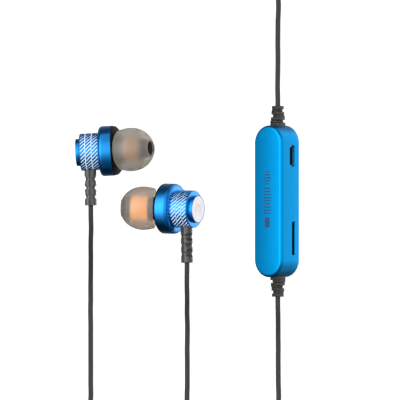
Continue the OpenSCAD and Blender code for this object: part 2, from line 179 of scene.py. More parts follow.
class Paint:
    """A material with one Principled shader, and short ways to add nodes to it."""

    def __init__(self, name, colour, roughness, **constants):
        self.material = bpy.data.materials.new(name)
        self.material.use_nodes = True
        self.tree = self.material.node_tree
        self.shader = self.tree.nodes["Principled BSDF"]
        self.shader.inputs["Base Color"].default_value = (*colour, 1)
        self.shader.inputs["Roughness"].default_value = roughness
        for socket, value in constants.items():
            self.shader.inputs[socket.replace("_", " ")].default_value = value
        self.bumps = None

    def node(self, kind, **settings):
        made = self.tree.nodes.new(kind)
        for key, value in settings.items():
            setattr(made, key, value)
        return made

    def link(self, source, target):
        self.tree.links.new(source, target)

    def coords(self, kind="Object", stretch=(1, 1, 1)):
        mapping = self.node("ShaderNodeMapping")
        mapping.inputs["Scale"].default_value = stretch
        source = self.node("ShaderNodeTexCoord").outputs[kind]
        self.link(source, mapping.inputs["Vector"])
        return mapping.outputs["Vector"]

    def noise(self, size, detail=3, stretch=(1, 1, 1), kind="Object"):
        """Noise from 0 to 1, with features of about that size in the coordinates' unit."""
        made = self.node("ShaderNodeTexNoise")
        made.inputs["Scale"].default_value = 1 / size
        made.inputs["Detail"].default_value = detail
        self.link(self.coords(kind, stretch), made.inputs["Vector"])
        return made.outputs["Fac"]

    def math(self, operation, a, b=None):
        made = self.node("ShaderNodeMath", operation=operation)
        for socket, value in zip(made.inputs, (a, b)):
            if isinstance(value, (int, float)):
                socket.default_value = value
            elif value is not None:
                self.link(value, socket)
        return made.outputs[0]

    def ramp(self, value, low, high, from_low=0.35, from_high=0.65):
        made = self.node("ShaderNodeMapRange")
        for socket, number in (
            ("From Min", from_low),
            ("From Max", from_high),
            ("To Min", low),
            ("To Max", high),
        ):
            made.inputs[socket].default_value = number
        self.link(value, made.inputs["Value"])
        return made.outputs["Result"]

    def mix(self, factor, a, b):
        made = self.node("ShaderNodeMix", data_type="RGBA")
        self.link(factor, made.inputs[0])
        for socket, value in ((made.inputs[6], a), (made.inputs[7], b)):
            if isinstance(value, tuple):
                socket.default_value = (*value, 1)
            else:
                self.link(value, socket)
        return made.outputs[2]

    def colour(self, output):
        self.link(output, self.shader.inputs["Base Color"])

    def roughness(self, output):
        self.link(output, self.shader.inputs["Roughness"])

    def bump(self, height, distance, strength=1.0):
        """Adds a bump; distance is in metres."""
        made = self.node("ShaderNodeBump")
        made.inputs["Strength"].default_value = strength
        made.inputs["Distance"].default_value = distance
        self.link(height, made.inputs["Height"])
        if self.bumps is not None:
            self.link(self.bumps, made.inputs["Normal"])
        self.bumps = made.outputs["Normal"]
        self.link(self.bumps, self.shader.inputs["Normal"])


def plain(
    name, light, dark, roughness, grain=0.0004, relief=4e-6, uneven=0.15, **constants
):
    """A moulded, cast or pressed finish: two close tones, uneven gloss and a fine grain."""
    paint = Paint(name, light, roughness, **constants)
    paint.colour(paint.mix(paint.noise(0.004), light, dark))
    low, high = roughness * (1 - uneven), roughness * (1 + uneven)
    paint.roughness(paint.ramp(paint.noise(grain * 3), low, high))
    paint.bump(paint.noise(grain, 4), relief)
    return paint


def anodised(name, light, dark, roughness):
    """Anodised aluminium: even dye over a fine blasted grain."""
    paint = plain(name, light, dark, roughness, 0.0004, 5e-7, 0.05, Metallic=1.0)
    return paint.material


def lathe_anodised(name, light, dark, roughness):
    """The same on turned parts, with faint tool lines round them."""
    paint = plain(
        name, light, dark, roughness, 0.0006, 1e-7, 0.03, Metallic=1.0, Coat_Weight=0.5,
        Coat_Roughness=0.14,
    )
    paint.bump(paint.noise(0.5, 1, (0.002, 1, 1), "UV"), 1e-6)
    return paint.material


def cut_metal_with_painted_glint(name):
    """Bare cuts through the anodising: a near-white finish with a pale cyan emission, a painted
    glint that makes them shine beside the blue.
    """
    paint = plain(name, (0.9, 0.97, 1.0), (0.8, 0.93, 1.0), 0.4, 0.0004, 1e-6)
    # painted glint: the emission lights the cuts whatever light falls on them
    paint.shader.inputs["Emission Color"].default_value = (0.75, 0.93, 1, 1)
    paint.shader.inputs["Emission Strength"].default_value = 0.4
    return paint.material


def spun_metal(name):
    paint = plain(name, (0.64, 0.60, 0.61), (0.50, 0.48, 0.50), 0.24, 0.0003, 1e-6, Metallic=1.0)
    paint.bump(paint.noise(0.05, 2, (0.004, 1, 1), "UV"), 4e-6)
    return paint.material


def rubber(name, light, dark, roughness, polish=0.0):
    """Rubber, foam or matt plastic; polish is how much the mould's own gloss shows."""
    return plain(
        name, light, dark, roughness, 0.00025, 2e-6, Coat_Weight=polish, Coat_Roughness=0.16
    ).material


def silicone(name, light, dark, clear, roughness):
    """Milky translucent silicone."""
    paint = plain(
        name, light, dark, roughness, 0.002, 1e-6, 0.04, Transmission_Weight=clear, IOR=1.41,
        Coat_Weight=0.5, Coat_Roughness=0.08, Subsurface_Weight=0.1,
    )
    paint.shader.inputs["Subsurface Radius"].default_value = (1, 0.85, 0.7)
    paint.shader.inputs["Subsurface Scale"].default_value = 0.0015
    return paint.material


def silicone_with_painted_glow(name, painted_glow_strength, *finish):
    """Silicone with a painted glow: an orange emission of that strength stands in for light passing
    through it.
    """
    material = silicone(name, *finish)
    shader = material.node_tree.nodes["Principled BSDF"]
    # painted glow: the orange emission lights the core whatever light falls on it
    shader.inputs["Emission Color"].default_value = (1, 0.40, 0.09, 1)
    shader.inputs["Emission Strength"].default_value = painted_glow_strength
    return material


BRAID_COLUMNS = 6
BRAID_PITCH = 1.2


def braid_material(name):
    """Crossing strands of fine yarn, with painted shade in the gaps between them and the yarn's own
    tone on the crowns.
    """
    paint = Paint(name, (0.07, 0.07, 0.072), 0.55)
    split = paint.node("ShaderNodeSeparateXYZ")
    paint.link(paint.coords("UV"), split.inputs[0])
    around = paint.math("MULTIPLY", split.outputs["X"], BRAID_COLUMNS)
    along = paint.math("DIVIDE", split.outputs["Y"], BRAID_PITCH)
    a = paint.math("ADD", around, along)
    b = paint.math("SUBTRACT", around, along)
    cells = paint.math("ADD", paint.math("FLOOR", a), paint.math("FLOOR", b))
    parity = paint.math("PINGPONG", cells, 1)
    waves = [
        paint.math("ABSOLUTE", paint.math("SINE", paint.math("MULTIPLY", c, math.pi)))
        for c in (a, b)
    ]
    pillow = paint.math("SQRT", paint.math("MULTIPLY", *waves))
    yarns = [
        paint.math("ABSOLUTE", paint.math("SINE", paint.math("MULTIPLY", c, 3 * math.pi)))
        for c in (a, b)
    ]
    turn = paint.math("SUBTRACT", yarns[1], yarns[0])
    yarn = paint.math("ADD", yarns[0], paint.math("MULTIPLY", turn, parity))
    crown = paint.math("MULTIPLY", pillow, paint.ramp(yarn, 0.7, 1.0, 0, 1))
    fuzz = paint.ramp(paint.noise(0.0003), -0.1, 0.1)
    gap_shade_and_fuzz = paint.math("ADD", crown, fuzz)
    # painted shade: the colour falls nearly to black in the gaps between strands
    paint.colour(paint.mix(gap_shade_and_fuzz, (0.005, 0.005, 0.006), (0.065, 0.065, 0.068)))
    paint.roughness(paint.ramp(gap_shade_and_fuzz, 0.75, 0.5, 0, 1))
    paint.bump(crown, 0.00006)
    return paint.material


def circuit_green(name):
    paint = plain(name, (0.01, 0.12, 0.04), (0.008, 0.08, 0.03), 0.35)
    lines = paint.ramp(paint.noise(0.0006, 0), 0, 1, 0.49, 0.51)
    paint.colour(paint.mix(lines, (0.01, 0.10, 0.035), (0.012, 0.15, 0.05)))
    return paint.material


ORANGE = ((1.0, 0.45, 0.14), (0.98, 0.38, 0.10), 0.0, 0.35)  # two tones, clear, roughness
FINISHES = {
    "blue_aluminium": lathe_anodised(
        "blue_aluminium", (0.001, 0.29, 0.80), (0.001, 0.27, 0.76), 0.26
    ),
    "module_blue": anodised("module_blue", (0.002, 0.36, 0.82), (0.002, 0.34, 0.79), 0.34),
    "spun_silver": spun_metal("spun_silver"),
    "black_plastic": plain(
        "black_plastic", (0.004, 0.004, 0.005), (0.007, 0.007, 0.008), 0.4, relief=1e-6,
        Specular_IOR_Level=0.1,
    ).material,
    "steel": plain("steel", (0.5, 0.5, 0.5), (0.4, 0.4, 0.41), 0.35, Metallic=1.0).material,
    "magnet": plain("magnet", (0.62, 0.6, 0.57), (0.5, 0.49, 0.47), 0.3, Metallic=1.0).material,
    "copper": plain("copper", (0.6, 0.24, 0.1), (0.5, 0.2, 0.08), 0.35, Metallic=1.0).material,
    "diaphragm_film": plain("diaphragm_film", (0.5, 0.4, 0.2), (0.42, 0.33, 0.16), 0.3).material,
    "foam": rubber("foam", (0.08, 0.08, 0.085), (0.04, 0.04, 0.045), 0.9),
    "circuit_board": circuit_green("circuit_board"),
    "relief_rubber": rubber("relief_rubber", (0.08, 0.074, 0.066), (0.052, 0.048, 0.043), 0.3, 0.7),
    "grey_silicone": silicone(
        "grey_silicone", (0.66, 0.63, 0.56), (0.62, 0.59, 0.53), 0.76, 0.34
    ),
    # the right tip's core, with a strong painted glow
    "orange_silicone": silicone_with_painted_glow("orange_silicone", 1.7, *ORANGE),
    "battery_foil": plain(
        "battery_foil", (0.6, 0.6, 0.62), (0.5, 0.5, 0.52), 0.3, Metallic=1.0
    ).material,
    "chip_plastic": rubber("chip_plastic", (0.02, 0.02, 0.022), (0.03, 0.03, 0.03), 0.6),
    "clear_plastic": plain(
        "clear_plastic", (0.85, 0.9, 0.92), (0.8, 0.85, 0.9), 0.1, IOR=1.5
    ).material,
    "plunger_plastic": rubber("plunger_plastic", (0.65, 0.6, 0.45), (0.6, 0.55, 0.4), 0.5),
    "cord_braid": braid_material("cord_braid"),
}
# finishes that stand beside a piece's own: the knurl's cuts with a painted glint, a copy of the
# orange core with only a faint painted glow for the tip that faces away from the light, painted
# shade on the walls of the sound opening, and the module's boots
CUT_WITH_PAINTED_GLINT = cut_metal_with_painted_glint("knurl_cut_painted_glint")
# a faint painted glow on the left tip's core, the shaded copy of the right one's
SHADED_CORE = silicone_with_painted_glow("shaded_core", 0.25, *ORANGE)
# painted shade: a dark opaque rubber on the walls of the sound opening, where shade falls
OPENING_SHADE = rubber("opening_painted_shade", (0.075, 0.07, 0.062), (0.055, 0.052, 0.047), 0.4)
MODULE_RUBBER = rubber("module_rubber", (0.035, 0.033, 0.03), (0.025, 0.024, 0.022), 0.34)

# ---- cords ----

CORD_D = 1.75
TABLE_Z = 0.88  # height of a lying cord's centre
SHORT_ROUTE = [
    (0.75, -20.88, 7.45), (0.64, -24, 7.35), (0.14, -28, 6.8), (-1.26, -33, 5.0),
    (-3.06, -38, 2.9), (-4.16, -43, 1.4), (-4.66, -48, 0.88), (-4.66, -55, 0.88),
    (-4.66, -62, 0.88), (-4.66, -69, 0.88), (-3.16, -75, 0.88), (1.24, -79.6, 0.88),
    (7.24, -81.6, 0.88), (15.74, -82, 0.88), (24.24, -81.6, 0.88), (30.24, -79.6, 0.88),
    (34.24, -75, 0.88), (35.54, -69, 0.88), (35.54, -60, 0.88), (35.54, -50, 0.88),
    (35.74, -46, 1.2), (36.74, -42, 2.4), (37.94, -38, 3.9), (38.44, -34.6, 4.6),
    (38.44, -32.25, 4.6),
]
NECK_ROUTE = [
    (38.44, 32.25, 4.6), (38.44, 34.6, 4.6), (37.84, 38, 4.0), (36.64, 42, 2.5),
    (35.64, 46, 1.2), (35.39, 50, 0.88), (35.39, 60, 0.88), (35.39, 69, 0.88),
    (33.64, 74.4, 0.88), (28.64, 77.4, 0.88), (20.24, 78, 0.88), (6.24, 77.6, 0.88),
    (-7.76, 77.2, 0.88), (-21.76, 77.2, 0.88), (-35.76, 77.6, 0.88), (-49.76, 78.2, 0.88),
    (-63.76, 78.8, 0.88), (-75.76, 79, 0.88), (-85.76, 77.2, 0.88), (-92.56, 72.6, 0.88),
    (-95.76, 64.4, 0.88), (-96.36, 50, 0.88), (-95.76, 36, 0.88), (-95.16, 22, 0.88),
    (-94.96, 8, 0.88), (-95.16, -6, 0.88), (-95.56, -20, 0.88), (-95.76, -34, 0.88),
    (-95.56, -48, 0.88), (-94.96, -62, 0.88), (-93.16, -71, 0.88), (-88.76, -78, 0.88),
    (-81.76, -81.8, 0.88), (-72.36, -83, 0.88), (-62.56, -82.4, 0.88), (-54.96, -79.8, 0.88),
    (-50.16, -75, 0.88), (-48.06, -69, 0.88), (-47.86, -61, 0.88), (-47.86, -52, 0.88),
    (-47.86, -43, 0.88), (-47.86, -34, 0.88), (-47.36, -29, 1.5), (-45.66, -24, 3.4),
    (-43.16, -19, 6.3), (-40.46, -14, 9.5), (-38.36, -9, 11.8), (-37.71, -4.5, 12.7),
    (-37.7, -1.39, 12.71),
]


def smooth_route(route, step):
    """Points about step apart on a smooth curve through the route's points."""
    points = [Vector(p) for p in route]
    ends = [2 * points[0] - points[1], *points, 2 * points[-1] - points[-2]]
    line = []
    for p0, p1, p2, p3 in zip(ends, ends[1:], ends[2:], ends[3:]):
        span = (p2 - p1).length
        before, after = (p1 - p0).length, (p3 - p2).length
        m1 = ((p1 - p0) / before * span + (p2 - p1) / span * before) / (before + span) * span
        m2 = ((p2 - p1) / span * after + (p3 - p2) / after * span) / (after + span) * span
        count = max(2, round(span / step))
        for i in range(count):
            t = i / count
            line.append(
                p1 * (2 * t**3 - 3 * t**2 + 1)
                + m1 * (t**3 - 2 * t**2 + t)
                + p2 * (3 * t**2 - 2 * t**3)
                + m2 * (t**3 - t**2)
            )
    line.append(points[-1])
    for p in line:
        p.z = max(p.z, TABLE_Z)
    return line


def braided_cord(name, route):
    """A tube along the route whose surface is the crossing strands of a braid."""
    line = smooth_route(route, BRAID_PITCH / 6)
    count = 4 * BRAID_COLUMNS
    rings, run = [], 0.0
    for i, p in enumerate(line):
        tangent = (line[min(i + 1, len(line) - 1)] - line[max(i - 1, 0)]).normalized()
        side = tangent.cross(Vector((0, 0, 1))).normalized()
        up = side.cross(tangent)
        run += (p - line[i - 1]).length if i else 0
        ring = []
        for k in range(count):
            a = BRAID_COLUMNS * k / count + run / BRAID_PITCH
            b = BRAID_COLUMNS * k / count - run / BRAID_PITCH
            pillow = math.sqrt(abs(math.sin(math.pi * a) * math.sin(math.pi * b)))
            radius = CORD_D / 2 - 0.06 * (1 - pillow)
            turn = 2 * math.pi * k / count
            ring.append(p + radius * (math.cos(turn) * side + math.sin(turn) * up))
        rings.append(ring)
    bm = loft(rings, caps=True)
    piece = finish_piece(
        name, bm, Matrix(), "headset", [name.replace("braided_", "")],
        [FINISHES["cord_braid"]], sharp=70, weld=1e-5,
    )
    path = [p * MM for p in line[::8]] + [line[-1] * MM]
    length = sum((q - p).length for p, q in zip(path, path[1:]))
    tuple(path[0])
    return piece


braided_cord("braided_short_cord", SHORT_ROUTE)
braided_cord("braided_neck_cord", NECK_ROUTE)

# ---- floor, world and light ----


def studio():
    """A pale table lit from inside, and soft light cards round the image's upright axis."""
    floor_mesh = bpy.data.meshes.new("floor")
    half = 6.0
    corners = [(-half, -half, 0), (half, -half, 0), (half, half, 0), (-half, half, 0)]
    floor_mesh.from_pydata(corners, [], [(0, 1, 2, 3)])
    floor = bpy.data.objects.new("floor", floor_mesh)
    floor.location.z = -0.02 * MM
    scene.collection.objects.link(floor)
    paint = Paint("floor", (0.35, 0.35, 0.35), 0.9)
    paint.colour(paint.mix(paint.noise(0.02), (0.34, 0.34, 0.34), (0.36, 0.36, 0.36)))
    paint.shader.inputs["Specular IOR Level"].default_value = 0
    paint.shader.inputs["Emission Color"].default_value = (1, 1, 1, 1)
    paint.shader.inputs["Emission Strength"].default_value = 0.95
    floor_mesh.materials.append(paint.material)
    floor.visible_glossy = False

    world = bpy.data.worlds.new("studio")
    scene.world = world
    world.use_nodes = True
    tree = world.node_tree
    tree.nodes.clear()

    def node(kind, **settings):
        made = tree.nodes.new(kind)
        for key, value in settings.items():
            setattr(made, key, value)
        return made

    def value(operation, a, b):
        made = node("ShaderNodeMath", operation=operation)
        for socket, given in zip(made.inputs, (a, b)):
            if isinstance(given, (int, float)):
                socket.default_value = given
            else:
                tree.links.new(given, socket)
        return made.outputs[0]

    direction = node("ShaderNodeTexCoord").outputs["Generated"]

    def along(axis):
        made = node("ShaderNodeVectorMath", operation="DOT_PRODUCT")
        made.inputs[1].default_value = axis
        tree.links.new(direction, made.inputs[0])
        return made.outputs["Value"]

    def ramp(source, stops):
        made = node("ShaderNodeValToRGB")
        made.color_ramp.interpolation = "EASE"
        while len(made.color_ramp.elements) < len(stops):
            made.color_ramp.elements.new(0.5)
        for element, (position, level) in zip(made.color_ramp.elements, stops):
            element.position = position
            element.color = (level, level, level, 1)
        tree.links.new(source, made.inputs["Fac"])
        return made.outputs["Color"]

    right = Vector((math.cos(LEAN), 0, -math.sin(LEAN)))
    swing = value("ARCTAN2", along(right), along(TO_CAMERA))
    swing = value("ADD", value("DIVIDE", swing, 2 * math.pi), 0.5)
    cards = [  # degrees from the camera, towards the image's right, and radiance
        (-180, 0.35), (-125, 0.2), (-92, 0.3), (-74, 0.8), (-58, 2.7), (-42, 2.4),
        (-20, 1.35), (0, 1.25), (30, 1.1), (66, 0.5), (96, 0.95), (124, 1.7), (150, 0.6),
        (180, 0.35),
    ]
    peak = max(level for _, level in cards)
    round_axis = ramp(swing, [(a / 360 + 0.5, level / peak) for a, level in cards])
    tall = value("ADD", value("MULTIPLY", along(Vector((0, 1, 0))), 0.5), 0.5)
    fall = ramp(tall, [
        (0, 0.06), (0.12, 0.12), (0.26, 0.35), (0.4, 0.8), (0.5, 1), (0.62, 1), (0.76, 0.82),
        (0.9, 0.45), (1, 0.3),
    ])
    card = value("MULTIPLY", round_axis, fall)
    lit = node("ShaderNodeBackground")
    tree.links.new(card, lit.inputs["Color"])
    lit.inputs["Strength"].default_value = peak
    pale = node("ShaderNodeBackground")
    pale.inputs["Color"].default_value = (1, 1, 1, 1)
    mix = node("ShaderNodeMixShader")
    tree.links.new(node("ShaderNodeLightPath").outputs["Is Camera Ray"], mix.inputs[0])
    tree.links.new(lit.outputs[0], mix.inputs[1])
    tree.links.new(pale.outputs[0], mix.inputs[2])
    tree.links.new(mix.outputs[0], node("ShaderNodeOutputWorld").inputs["Surface"])
    scene.view_settings.view_transform = "Standard"


studio()

# ---- buds ----

NOZZLE_TILT, NOZZLE_X = 22, 2.1  # the nozzle turns about this place on the bud's axis
RELIEF_CANT = 2.2
BUDS = {  # place of the flange's rear face, dip and swing in degrees, mirrored
    "left": ((-35.36, 17.05, 10.85), 35, 1, False),
    "right": ((-2.81, -2.55, 8.13), 12, 1.2, True),
}
BARREL_R, BARREL_LEN = 6.35, 6.5
FLANGE_R, FLANGE_LEN, FLANGE_FILLET = 8.55, 4.5, 1.4
BOSS_R, BOSS_LEN = 4.675, 1.45
DISC_R, DISC_T = 4.455, 0.4
DISC_RIDGES, DISH_R, DISH_DEPTH = 38, 12.5, 0.2
REAR_X = -BARREL_LEN - BOSS_LEN
GROOVE_XS = (-4.55, -2.4)
GROOVE_W, GROOVE_DEPTH = 0.24, 0.12
KNURL_STARTS, KNURL_DEPTH = 30, 0.15
KNURL_ENDS = (-6.15, -0.25)
KNURL_STEP = 0.34  # between the stations along a cut
KNURL_LANDS = ((0, 0), (0.3, 0), (0.6, 0), (0.65, 1), (0.95, 1))  # share of a turn, sunk
CUT_FLOOR = 3  # the land whose far side is the bottom of the cut
BORE_R, SEAT_R, REAR_WALL = 5.2, 7.5, 0.75  # barrel's bore, flange's seat, end wall


def turn_y(degrees):
    return Matrix.Rotation(math.radians(degrees), 4, "Y")


def turn_z(degrees):
    return Matrix.Rotation(math.radians(degrees), 4, "Z")


def bud_place(side):
    position, dip, swing, mirrored = BUDS[side]
    place = Matrix.Translation(position) @ turn_z(swing) @ turn_y(dip)
    return place @ Matrix.Scale(-1, 4, (1, 0, 0)) if mirrored else place


def body_place(side):
    return bud_place(side) @ turn_z(RELIEF_CANT)


def nozzle_place(side):
    return body_place(side) @ Matrix.Translation((NOZZLE_X, 0, 0)) @ turn_y(-NOZZLE_TILT)


def knurled_rows():
    """Stations along the barrel: (x, radius on a land, depth of the diagonal cuts, in a
    groove round the barrel)."""
    start, end = KNURL_ENDS
    stops = [start, *[x for g in GROOVE_XS for x in (g, g + GROOVE_W)], end]
    rows = []
    for x0, x1 in zip(stops[0::2], stops[1::2]):
        count = round((x1 - x0) / KNURL_STEP)
        rows.append((x0, BARREL_R, 0, False))
        for i in range(count + 1):
            x = x0 + 0.04 + (x1 - x0 - 0.08) * i / count
            rows.append((x, BARREL_R, KNURL_DEPTH, False))
        rows.append((x1, BARREL_R, 0, x1 != end))
        if x1 != end:
            floor_r = BARREL_R - GROOVE_DEPTH
            rows.append((x1 + 0.06, floor_r, 0, True))
            rows.append((x1 + GROOVE_W - 0.06, floor_r, 0, True))
    return rows


def make_housing(side):
    """Boss, knurled barrel and flange, turned from one bar, with the bores behind."""
    count = KNURL_STARTS * len(KNURL_LANDS)
    hand = 1 if BUDS[side][3] else -1
    fillet = arc((FLANGE_FILLET, FLANGE_R - FLANGE_FILLET), FLANGE_FILLET, 180, 90, 8)
    chamfer = arc((-BARREL_LEN + 0.25, BARREL_R - 0.25), 0.25, 180, 90, 4)
    before = [
        (REAR_X + DISC_T, 0), (REAR_X + DISC_T, DISC_R + 0.02), (REAR_X + 0.06, DISC_R + 0.02),
        (REAR_X, DISC_R + 0.07), (REAR_X, BOSS_R - 0.12), (REAR_X + 0.03, BOSS_R - 0.04),
        (REAR_X + 0.12, BOSS_R), (-BARREL_LEN - 0.08, BOSS_R), (-BARREL_LEN, BOSS_R + 0.08),
        *chamfer,
    ]
    after = [
        (-0.1, BARREL_R), (-0.03, BARREL_R + 0.03), (0, BARREL_R + 0.1), *fillet,
        (FLANGE_LEN - 0.1, FLANGE_R), (FLANGE_LEN, FLANGE_R - 0.1), (FLANGE_LEN, SEAT_R),
        (1, SEAT_R), (1, BORE_R), (REAR_WALL - BARREL_LEN, BORE_R),
        (REAR_WALL - BARREL_LEN, 0),
    ]
    rows = [(x, r, 0, False) for x, r in before] + knurled_rows()
    rows += [(x, r, 0, False) for x, r in after]
    rings = []
    for x, r, depth, _ in rows:
        twist = hand * min(max(x, KNURL_ENDS[0]), KNURL_ENDS[1]) / BARREL_R
        ring = []
        for k in range(count):
            share, sunk = KNURL_LANDS[k % len(KNURL_LANDS)]
            turn = 2 * math.pi * (k // len(KNURL_LANDS) + share) / KNURL_STARTS + twist
            radius = r - depth * sunk
            ring.append((x, radius * math.cos(turn), radius * math.sin(turn)))
        rings.append(ring)

    # the floors of the diagonal cuts and the grooves round the barrel take the cut metal with its
    # painted glint
    def pick(i, k):
        cut_row = rows[i][2] > 0 and rows[i + 1][2] > 0
        in_groove = rows[i][3] and rows[i + 1][3]
        return 1 if in_groove or (cut_row and k % len(KNURL_LANDS) == CUT_FLOOR) else 0

    materials = [FINISHES["blue_aluminium"], CUT_WITH_PAINTED_GLINT]
    finish_piece(
        f"{side}_turned_housing", loft(rings, pick), body_place(side), "headset",
        [f"{side}_housing"], materials,
    )


def make_disc(side):
    """Spun disc: fine ridges round it and a shallow dish in the middle."""
    profile = [(0, REAR_X + DISC_T), (DISC_R, REAR_X + DISC_T), (DISC_R, REAR_X + 0.09)]
    for i in range(DISC_RIDGES, -1, -1):
        r = (DISC_R - 0.05) * i / DISC_RIDGES
        dish = max(0.05, math.sqrt(DISH_R**2 - r**2) - (DISH_R - DISH_DEPTH))
        profile.append((r, REAR_X + dish + (0.007 if i % 2 else 0)))
    finish_piece(
        f"{side}_spun_disc", loft(turned(profile, 128)), body_place(side), "headset",
        [f"{side}_end_disc"], [FINISHES["spun_silver"]], sharp=40,
    )


NOZZLE_END_T, MESH_SINK = 13.6, 0.22


def make_mesh_screen(side):
    """Woven wire in the nozzle's mouth."""
    radius, pitch, wire = 2.12, 0.34, 0.075
    reach = int(radius / pitch)
    bm = bmesh.new()
    centre_t = NOZZLE_END_T - MESH_SINK
    for family in (0, 1):
        for n in range(-reach, reach + 1):
            across = n * pitch
            half = math.sqrt(max(radius**2 - across**2, 0.04))
            steps = max(4, round(2 * half / (pitch / 3)))
            rings = []
            for i in range(steps + 1):
                s = -half + 2 * half * i / steps
                weave = 0.05 * math.sin(math.pi * (s / pitch + n + family))
                ring = []
                for turn in (0, 72, 144, 216, 288):
                    u = across + wire * math.cos(math.radians(turn))
                    t = centre_t + weave + wire * math.sin(math.radians(turn))
                    ring.append((t, s, u) if family else (t, u, s))
                rings.append(ring)
            join(bm, loft(rings, caps=True))
    finish_piece(
        f"{side}_wire_mesh", bm, nozzle_place(side), "headset", [f"{side}_nozzle_mesh"],
        [FINISHES["steel"]], sharp=80, weld=1e-6,
    )


# ---- ear tips ----

TIP_R, SKIRT_R, HOLE_R, TIP_WALL = 7.4, 6.8, 2.55, 0.55
SKIRT_T, WIDEST_T, TIP_END_T, DOME_LEN, LIP_R = 5.95, 10.0, 17.4, 7.9, 3.0
LIP_DEPTH = 0.75  # the lip keeps the pale silicone down to this depth in the sound opening; below it the bore carries painted shade
CORE_START_T, CORE_END_T, CORE_R, CORE_BORE_R = 8.35, 14.0, 4.0, 2.85


def tip_radius(t, inset):
    if t < WIDEST_T:
        bulge = (WIDEST_T - t) / (WIDEST_T - SKIRT_T)
        return TIP_R - inset - (TIP_R - SKIRT_R) * bulge**2
    share = (t - WIDEST_T) / (DOME_LEN - inset)
    return (TIP_R - inset) * math.sqrt(max(0, 1 - share**2))


def make_tip(side):
    """Soft dome folded back over a stem, which carries on as the orange core."""
    steps = 26
    lip_t = WIDEST_T + DOME_LEN * math.sqrt(1 - (LIP_R / TIP_R) ** 2)
    inner_end = CORE_END_T + 1.4

    def dome(start, end, inset):
        shares = [math.sin(math.pi / 2 * i / steps) for i in range(steps + 1)]
        spots = [start + (end - start) * s for s in shares]
        return [(tip_radius(t, inset), t) for t in spots]

    outside = dome(SKIRT_T + 0.2, lip_t, 0)
    inside = dome(SKIRT_T + 0.2, inner_end, TIP_WALL)
    skirt_mid = (tip_radius(SKIRT_T + 0.2, 0) + tip_radius(SKIRT_T + 0.2, TIP_WALL)) / 2
    skirt = arc((skirt_mid, SKIRT_T + 0.2), TIP_WALL / 2, 180, 360, 6)
    skirt = [(r, SKIRT_T + 0.2 + (t - SKIRT_T - 0.2) * 0.7) for r, t in skirt]
    fold_r, fold_t = inside[-1]
    profile = [
        *skirt,
        *outside[1:],
        (LIP_R - 0.06, lip_t + 0.1), (LIP_R - 0.2, TIP_END_T), (HOLE_R + 0.1, TIP_END_T - 0.02),
        (HOLE_R + 0.02, TIP_END_T - 0.14), (HOLE_R, TIP_END_T - LIP_DEPTH), (HOLE_R, CORE_END_T),
        (CORE_R, CORE_END_T),
        (CORE_R + 0.03, CORE_END_T + 0.5),
        (CORE_R + (fold_r - CORE_R) * 0.45, fold_t - 0.12),
        *reversed(inside),
    ]
    closed = profile + profile[:1]

    # faces inside the sound opening get the painted shade
    def pick(i, k):
        return 1 if max(closed[i][0], closed[i + 1][0]) < HOLE_R + 0.01 else 0

    finish_piece(
        f"{side}_silicone_tip", loft(turned(closed, 112), pick), nozzle_place(side),
        f"{side}_tip", [f"{side}_ear_tip"], [FINISHES["grey_silicone"], OPENING_SHADE],
    )
    # lit and shaded copies of the core: a strong painted glow on the right tip, a faint one on the
    # left
    lit = FINISHES["orange_silicone"] if BUDS[side][3] else SHADED_CORE
    edge = 0.18
    core = [
        *arc((CORE_BORE_R + edge, CORE_START_T + edge), edge, 180, 270, 4),
        *arc((CORE_R - edge, CORE_START_T + edge), edge, 270, 360, 4),
        (CORE_R, CORE_START_T + 1.0), (CORE_R - 0.1, CORE_START_T + 1.15),
        (CORE_R - 0.1, CORE_START_T + 1.45), (CORE_R, CORE_START_T + 1.6),
        (CORE_R, CORE_END_T - 0.02), (CORE_BORE_R, CORE_END_T - 0.02),
    ]
    finish_piece(
        f"{side}_orange_core", loft(turned(core + core[:1], 96)), nozzle_place(side),
        f"{side}_tip", [f"{side}_tip_core"], [lit],
    )


# ---- strain reliefs ----


def rounded_ring(left, right, half_h, radius, seam=0.0, seam_half=0.35):
    """A rounded rectangle in (a, b), with a channel of that depth in its two b faces."""
    radius = min(radius, (right - left) / 2 - 0.02, half_h - 0.02)
    middle = (left + right) / 2
    channel = ((1, 0), (0.75, 0.55), (0.45, 1), (-0.45, 1), (-0.75, 0.55), (-1, 0))
    ring = []
    for sign in (1, -1):
        near, far = (right, left) if sign > 0 else (left, right)
        flip = 0 if sign > 0 else 180
        high = sign * (half_h - radius)
        ring += arc((near - sign * radius, high), radius, flip, flip + 90, 6)
        for step, depth in channel:
            ring.append((middle + sign * step * seam_half, sign * (half_h - depth * seam)))
        ring += arc((far + sign * radius, high), radius, flip + 90, flip + 180, 6)
    return ring


RELIEF_END, RELIEF_HALF, RELIEF_TALL, RELIEF_ROUND = 18.4, 2.0, 1.75, 1.4
NOTCH_YS, NOTCH_R, NOTCH_DEPTH = (9.5, 12.45, 15.4), 0.85, 0.42
POCKETS, POCKET_START_Y, POCKET_PITCH = 5, -8.7, 1.8
POCKET_HALF_LEN, POCKET_HALF_H, POCKET_FLOOR_X = 0.4, 1.1, 1.2
BOOT_STEP = 0.16  # between the stations along the boot


def boot_pockets():
    """Cutters for the row of slots in each notched side of the boot."""
    corners = [
        (a * POCKET_HALF_LEN, b * POCKET_HALF_H) for a, b in ((-1, -1), (1, -1), (1, 1), (-1, 1))
    ]
    cutters = []
    for sign in (-1, 1):
        for i in range(POCKETS):
            y = POCKET_START_Y - POCKET_PITCH * i
            ends = (sign * POCKET_FLOOR_X, sign * (RELIEF_HALF + 1))
            pocket = loft([[(x, y + b, z) for b, z in corners] for x in ends], caps=True)
            bmesh.ops.recalc_face_normals(pocket, faces=pocket.faces)
            cutters.append(pocket)
    return cutters


